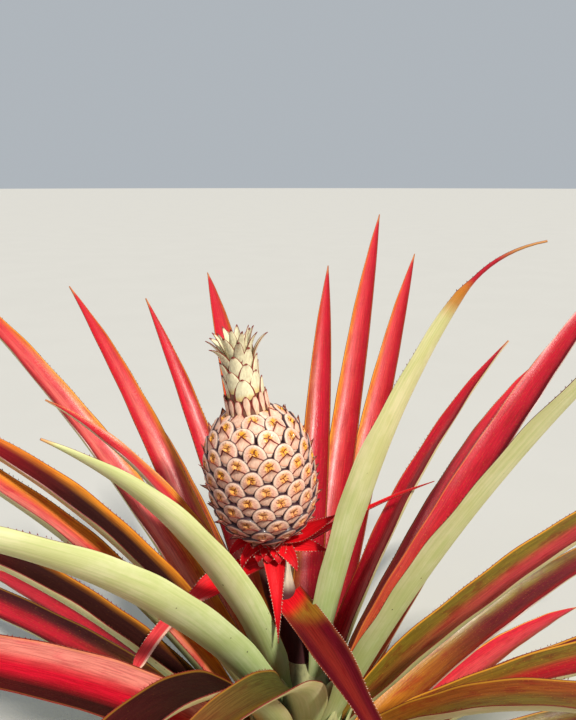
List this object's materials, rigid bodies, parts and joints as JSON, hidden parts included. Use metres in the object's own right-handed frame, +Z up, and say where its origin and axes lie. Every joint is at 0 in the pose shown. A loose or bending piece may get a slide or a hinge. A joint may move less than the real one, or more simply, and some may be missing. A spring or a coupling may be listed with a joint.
{
  "type": "red pineapple plant",
  "caption": "Red-leaved pineapple plant with a dense rosette of gutter-shaped leaves on a short stem and a young fruit with a small crown on a slender stalk.",
  "frame": {"origin": "centre of the flat cut under the stem, at ground level", "axes": "+Z up the stem, +X to the plant's right and +Y to its back, seen from the side the picture shows"},
  "size_m": [1.155, 1.1326, 0.6248],
  "materials": {
    "stem": "dull, wrapped in dry old leaf bases",
    "leaf": "glossy crimson upper face, pale waxy green underside",
    "stalk": "matt, pale cream to purple-brown",
    "bract": "glossy bright red",
    "fruit": "waxy pinkish cream eyes with orange middles and dark grooves",
    "crown": "matt cream-green scales with red-brown edges"
  },
  "bodies": {
    "root": {"stem": "stem", "inner_leaf_1": "leaf", "inner_leaf_2": "leaf", "inner_leaf_3": "leaf", "inner_leaf_4": "leaf", "inner_leaf_5": "leaf", "inner_leaf_6": "leaf", "inner_leaf_7": "leaf", "inner_leaf_8": "leaf", "inner_leaf_9": "leaf", "inner_leaf_10": "leaf", "middle_leaf_1": "leaf", "middle_leaf_2": "leaf", "middle_leaf_3": "leaf", "middle_leaf_4": "leaf", "middle_leaf_5": "leaf", "middle_leaf_6": "leaf", "middle_leaf_7": "leaf", "middle_leaf_8": "leaf", "middle_leaf_9": "leaf", "middle_leaf_10": "leaf", "middle_leaf_11": "leaf", "middle_leaf_12": "leaf", "middle_leaf_13": "leaf", "middle_leaf_14": "leaf", "middle_leaf_15": "leaf", "middle_leaf_16": "leaf", "middle_leaf_17": "leaf", "middle_leaf_18": "leaf", "outer_leaf_1": "leaf", "outer_leaf_2": "leaf", "outer_leaf_3": "leaf", "outer_leaf_4": "leaf", "outer_leaf_5": "leaf", "outer_leaf_6": "leaf", "outer_leaf_7": "leaf", "outer_leaf_8": "leaf", "outer_leaf_9": "leaf", "outer_leaf_10": "leaf", "outer_leaf_11": "leaf", "outer_leaf_12": "leaf", "outer_leaf_13": "leaf", "outer_leaf_14": "leaf", "outer_leaf_15": "leaf", "outer_leaf_16": "leaf", "outer_leaf_17": "leaf", "outer_leaf_18": "leaf", "outer_leaf_19": "leaf", "stalk": "stalk", "stalk_leaf_front": "bract", "stalk_leaf_left": "bract", "stalk_leaf_right": "bract", "stalk_leaf_hanging": "bract", "stalk_leaf_back": "bract", "fruit": "fruit", "crown": "crown"}
  },
  "joints": []
}
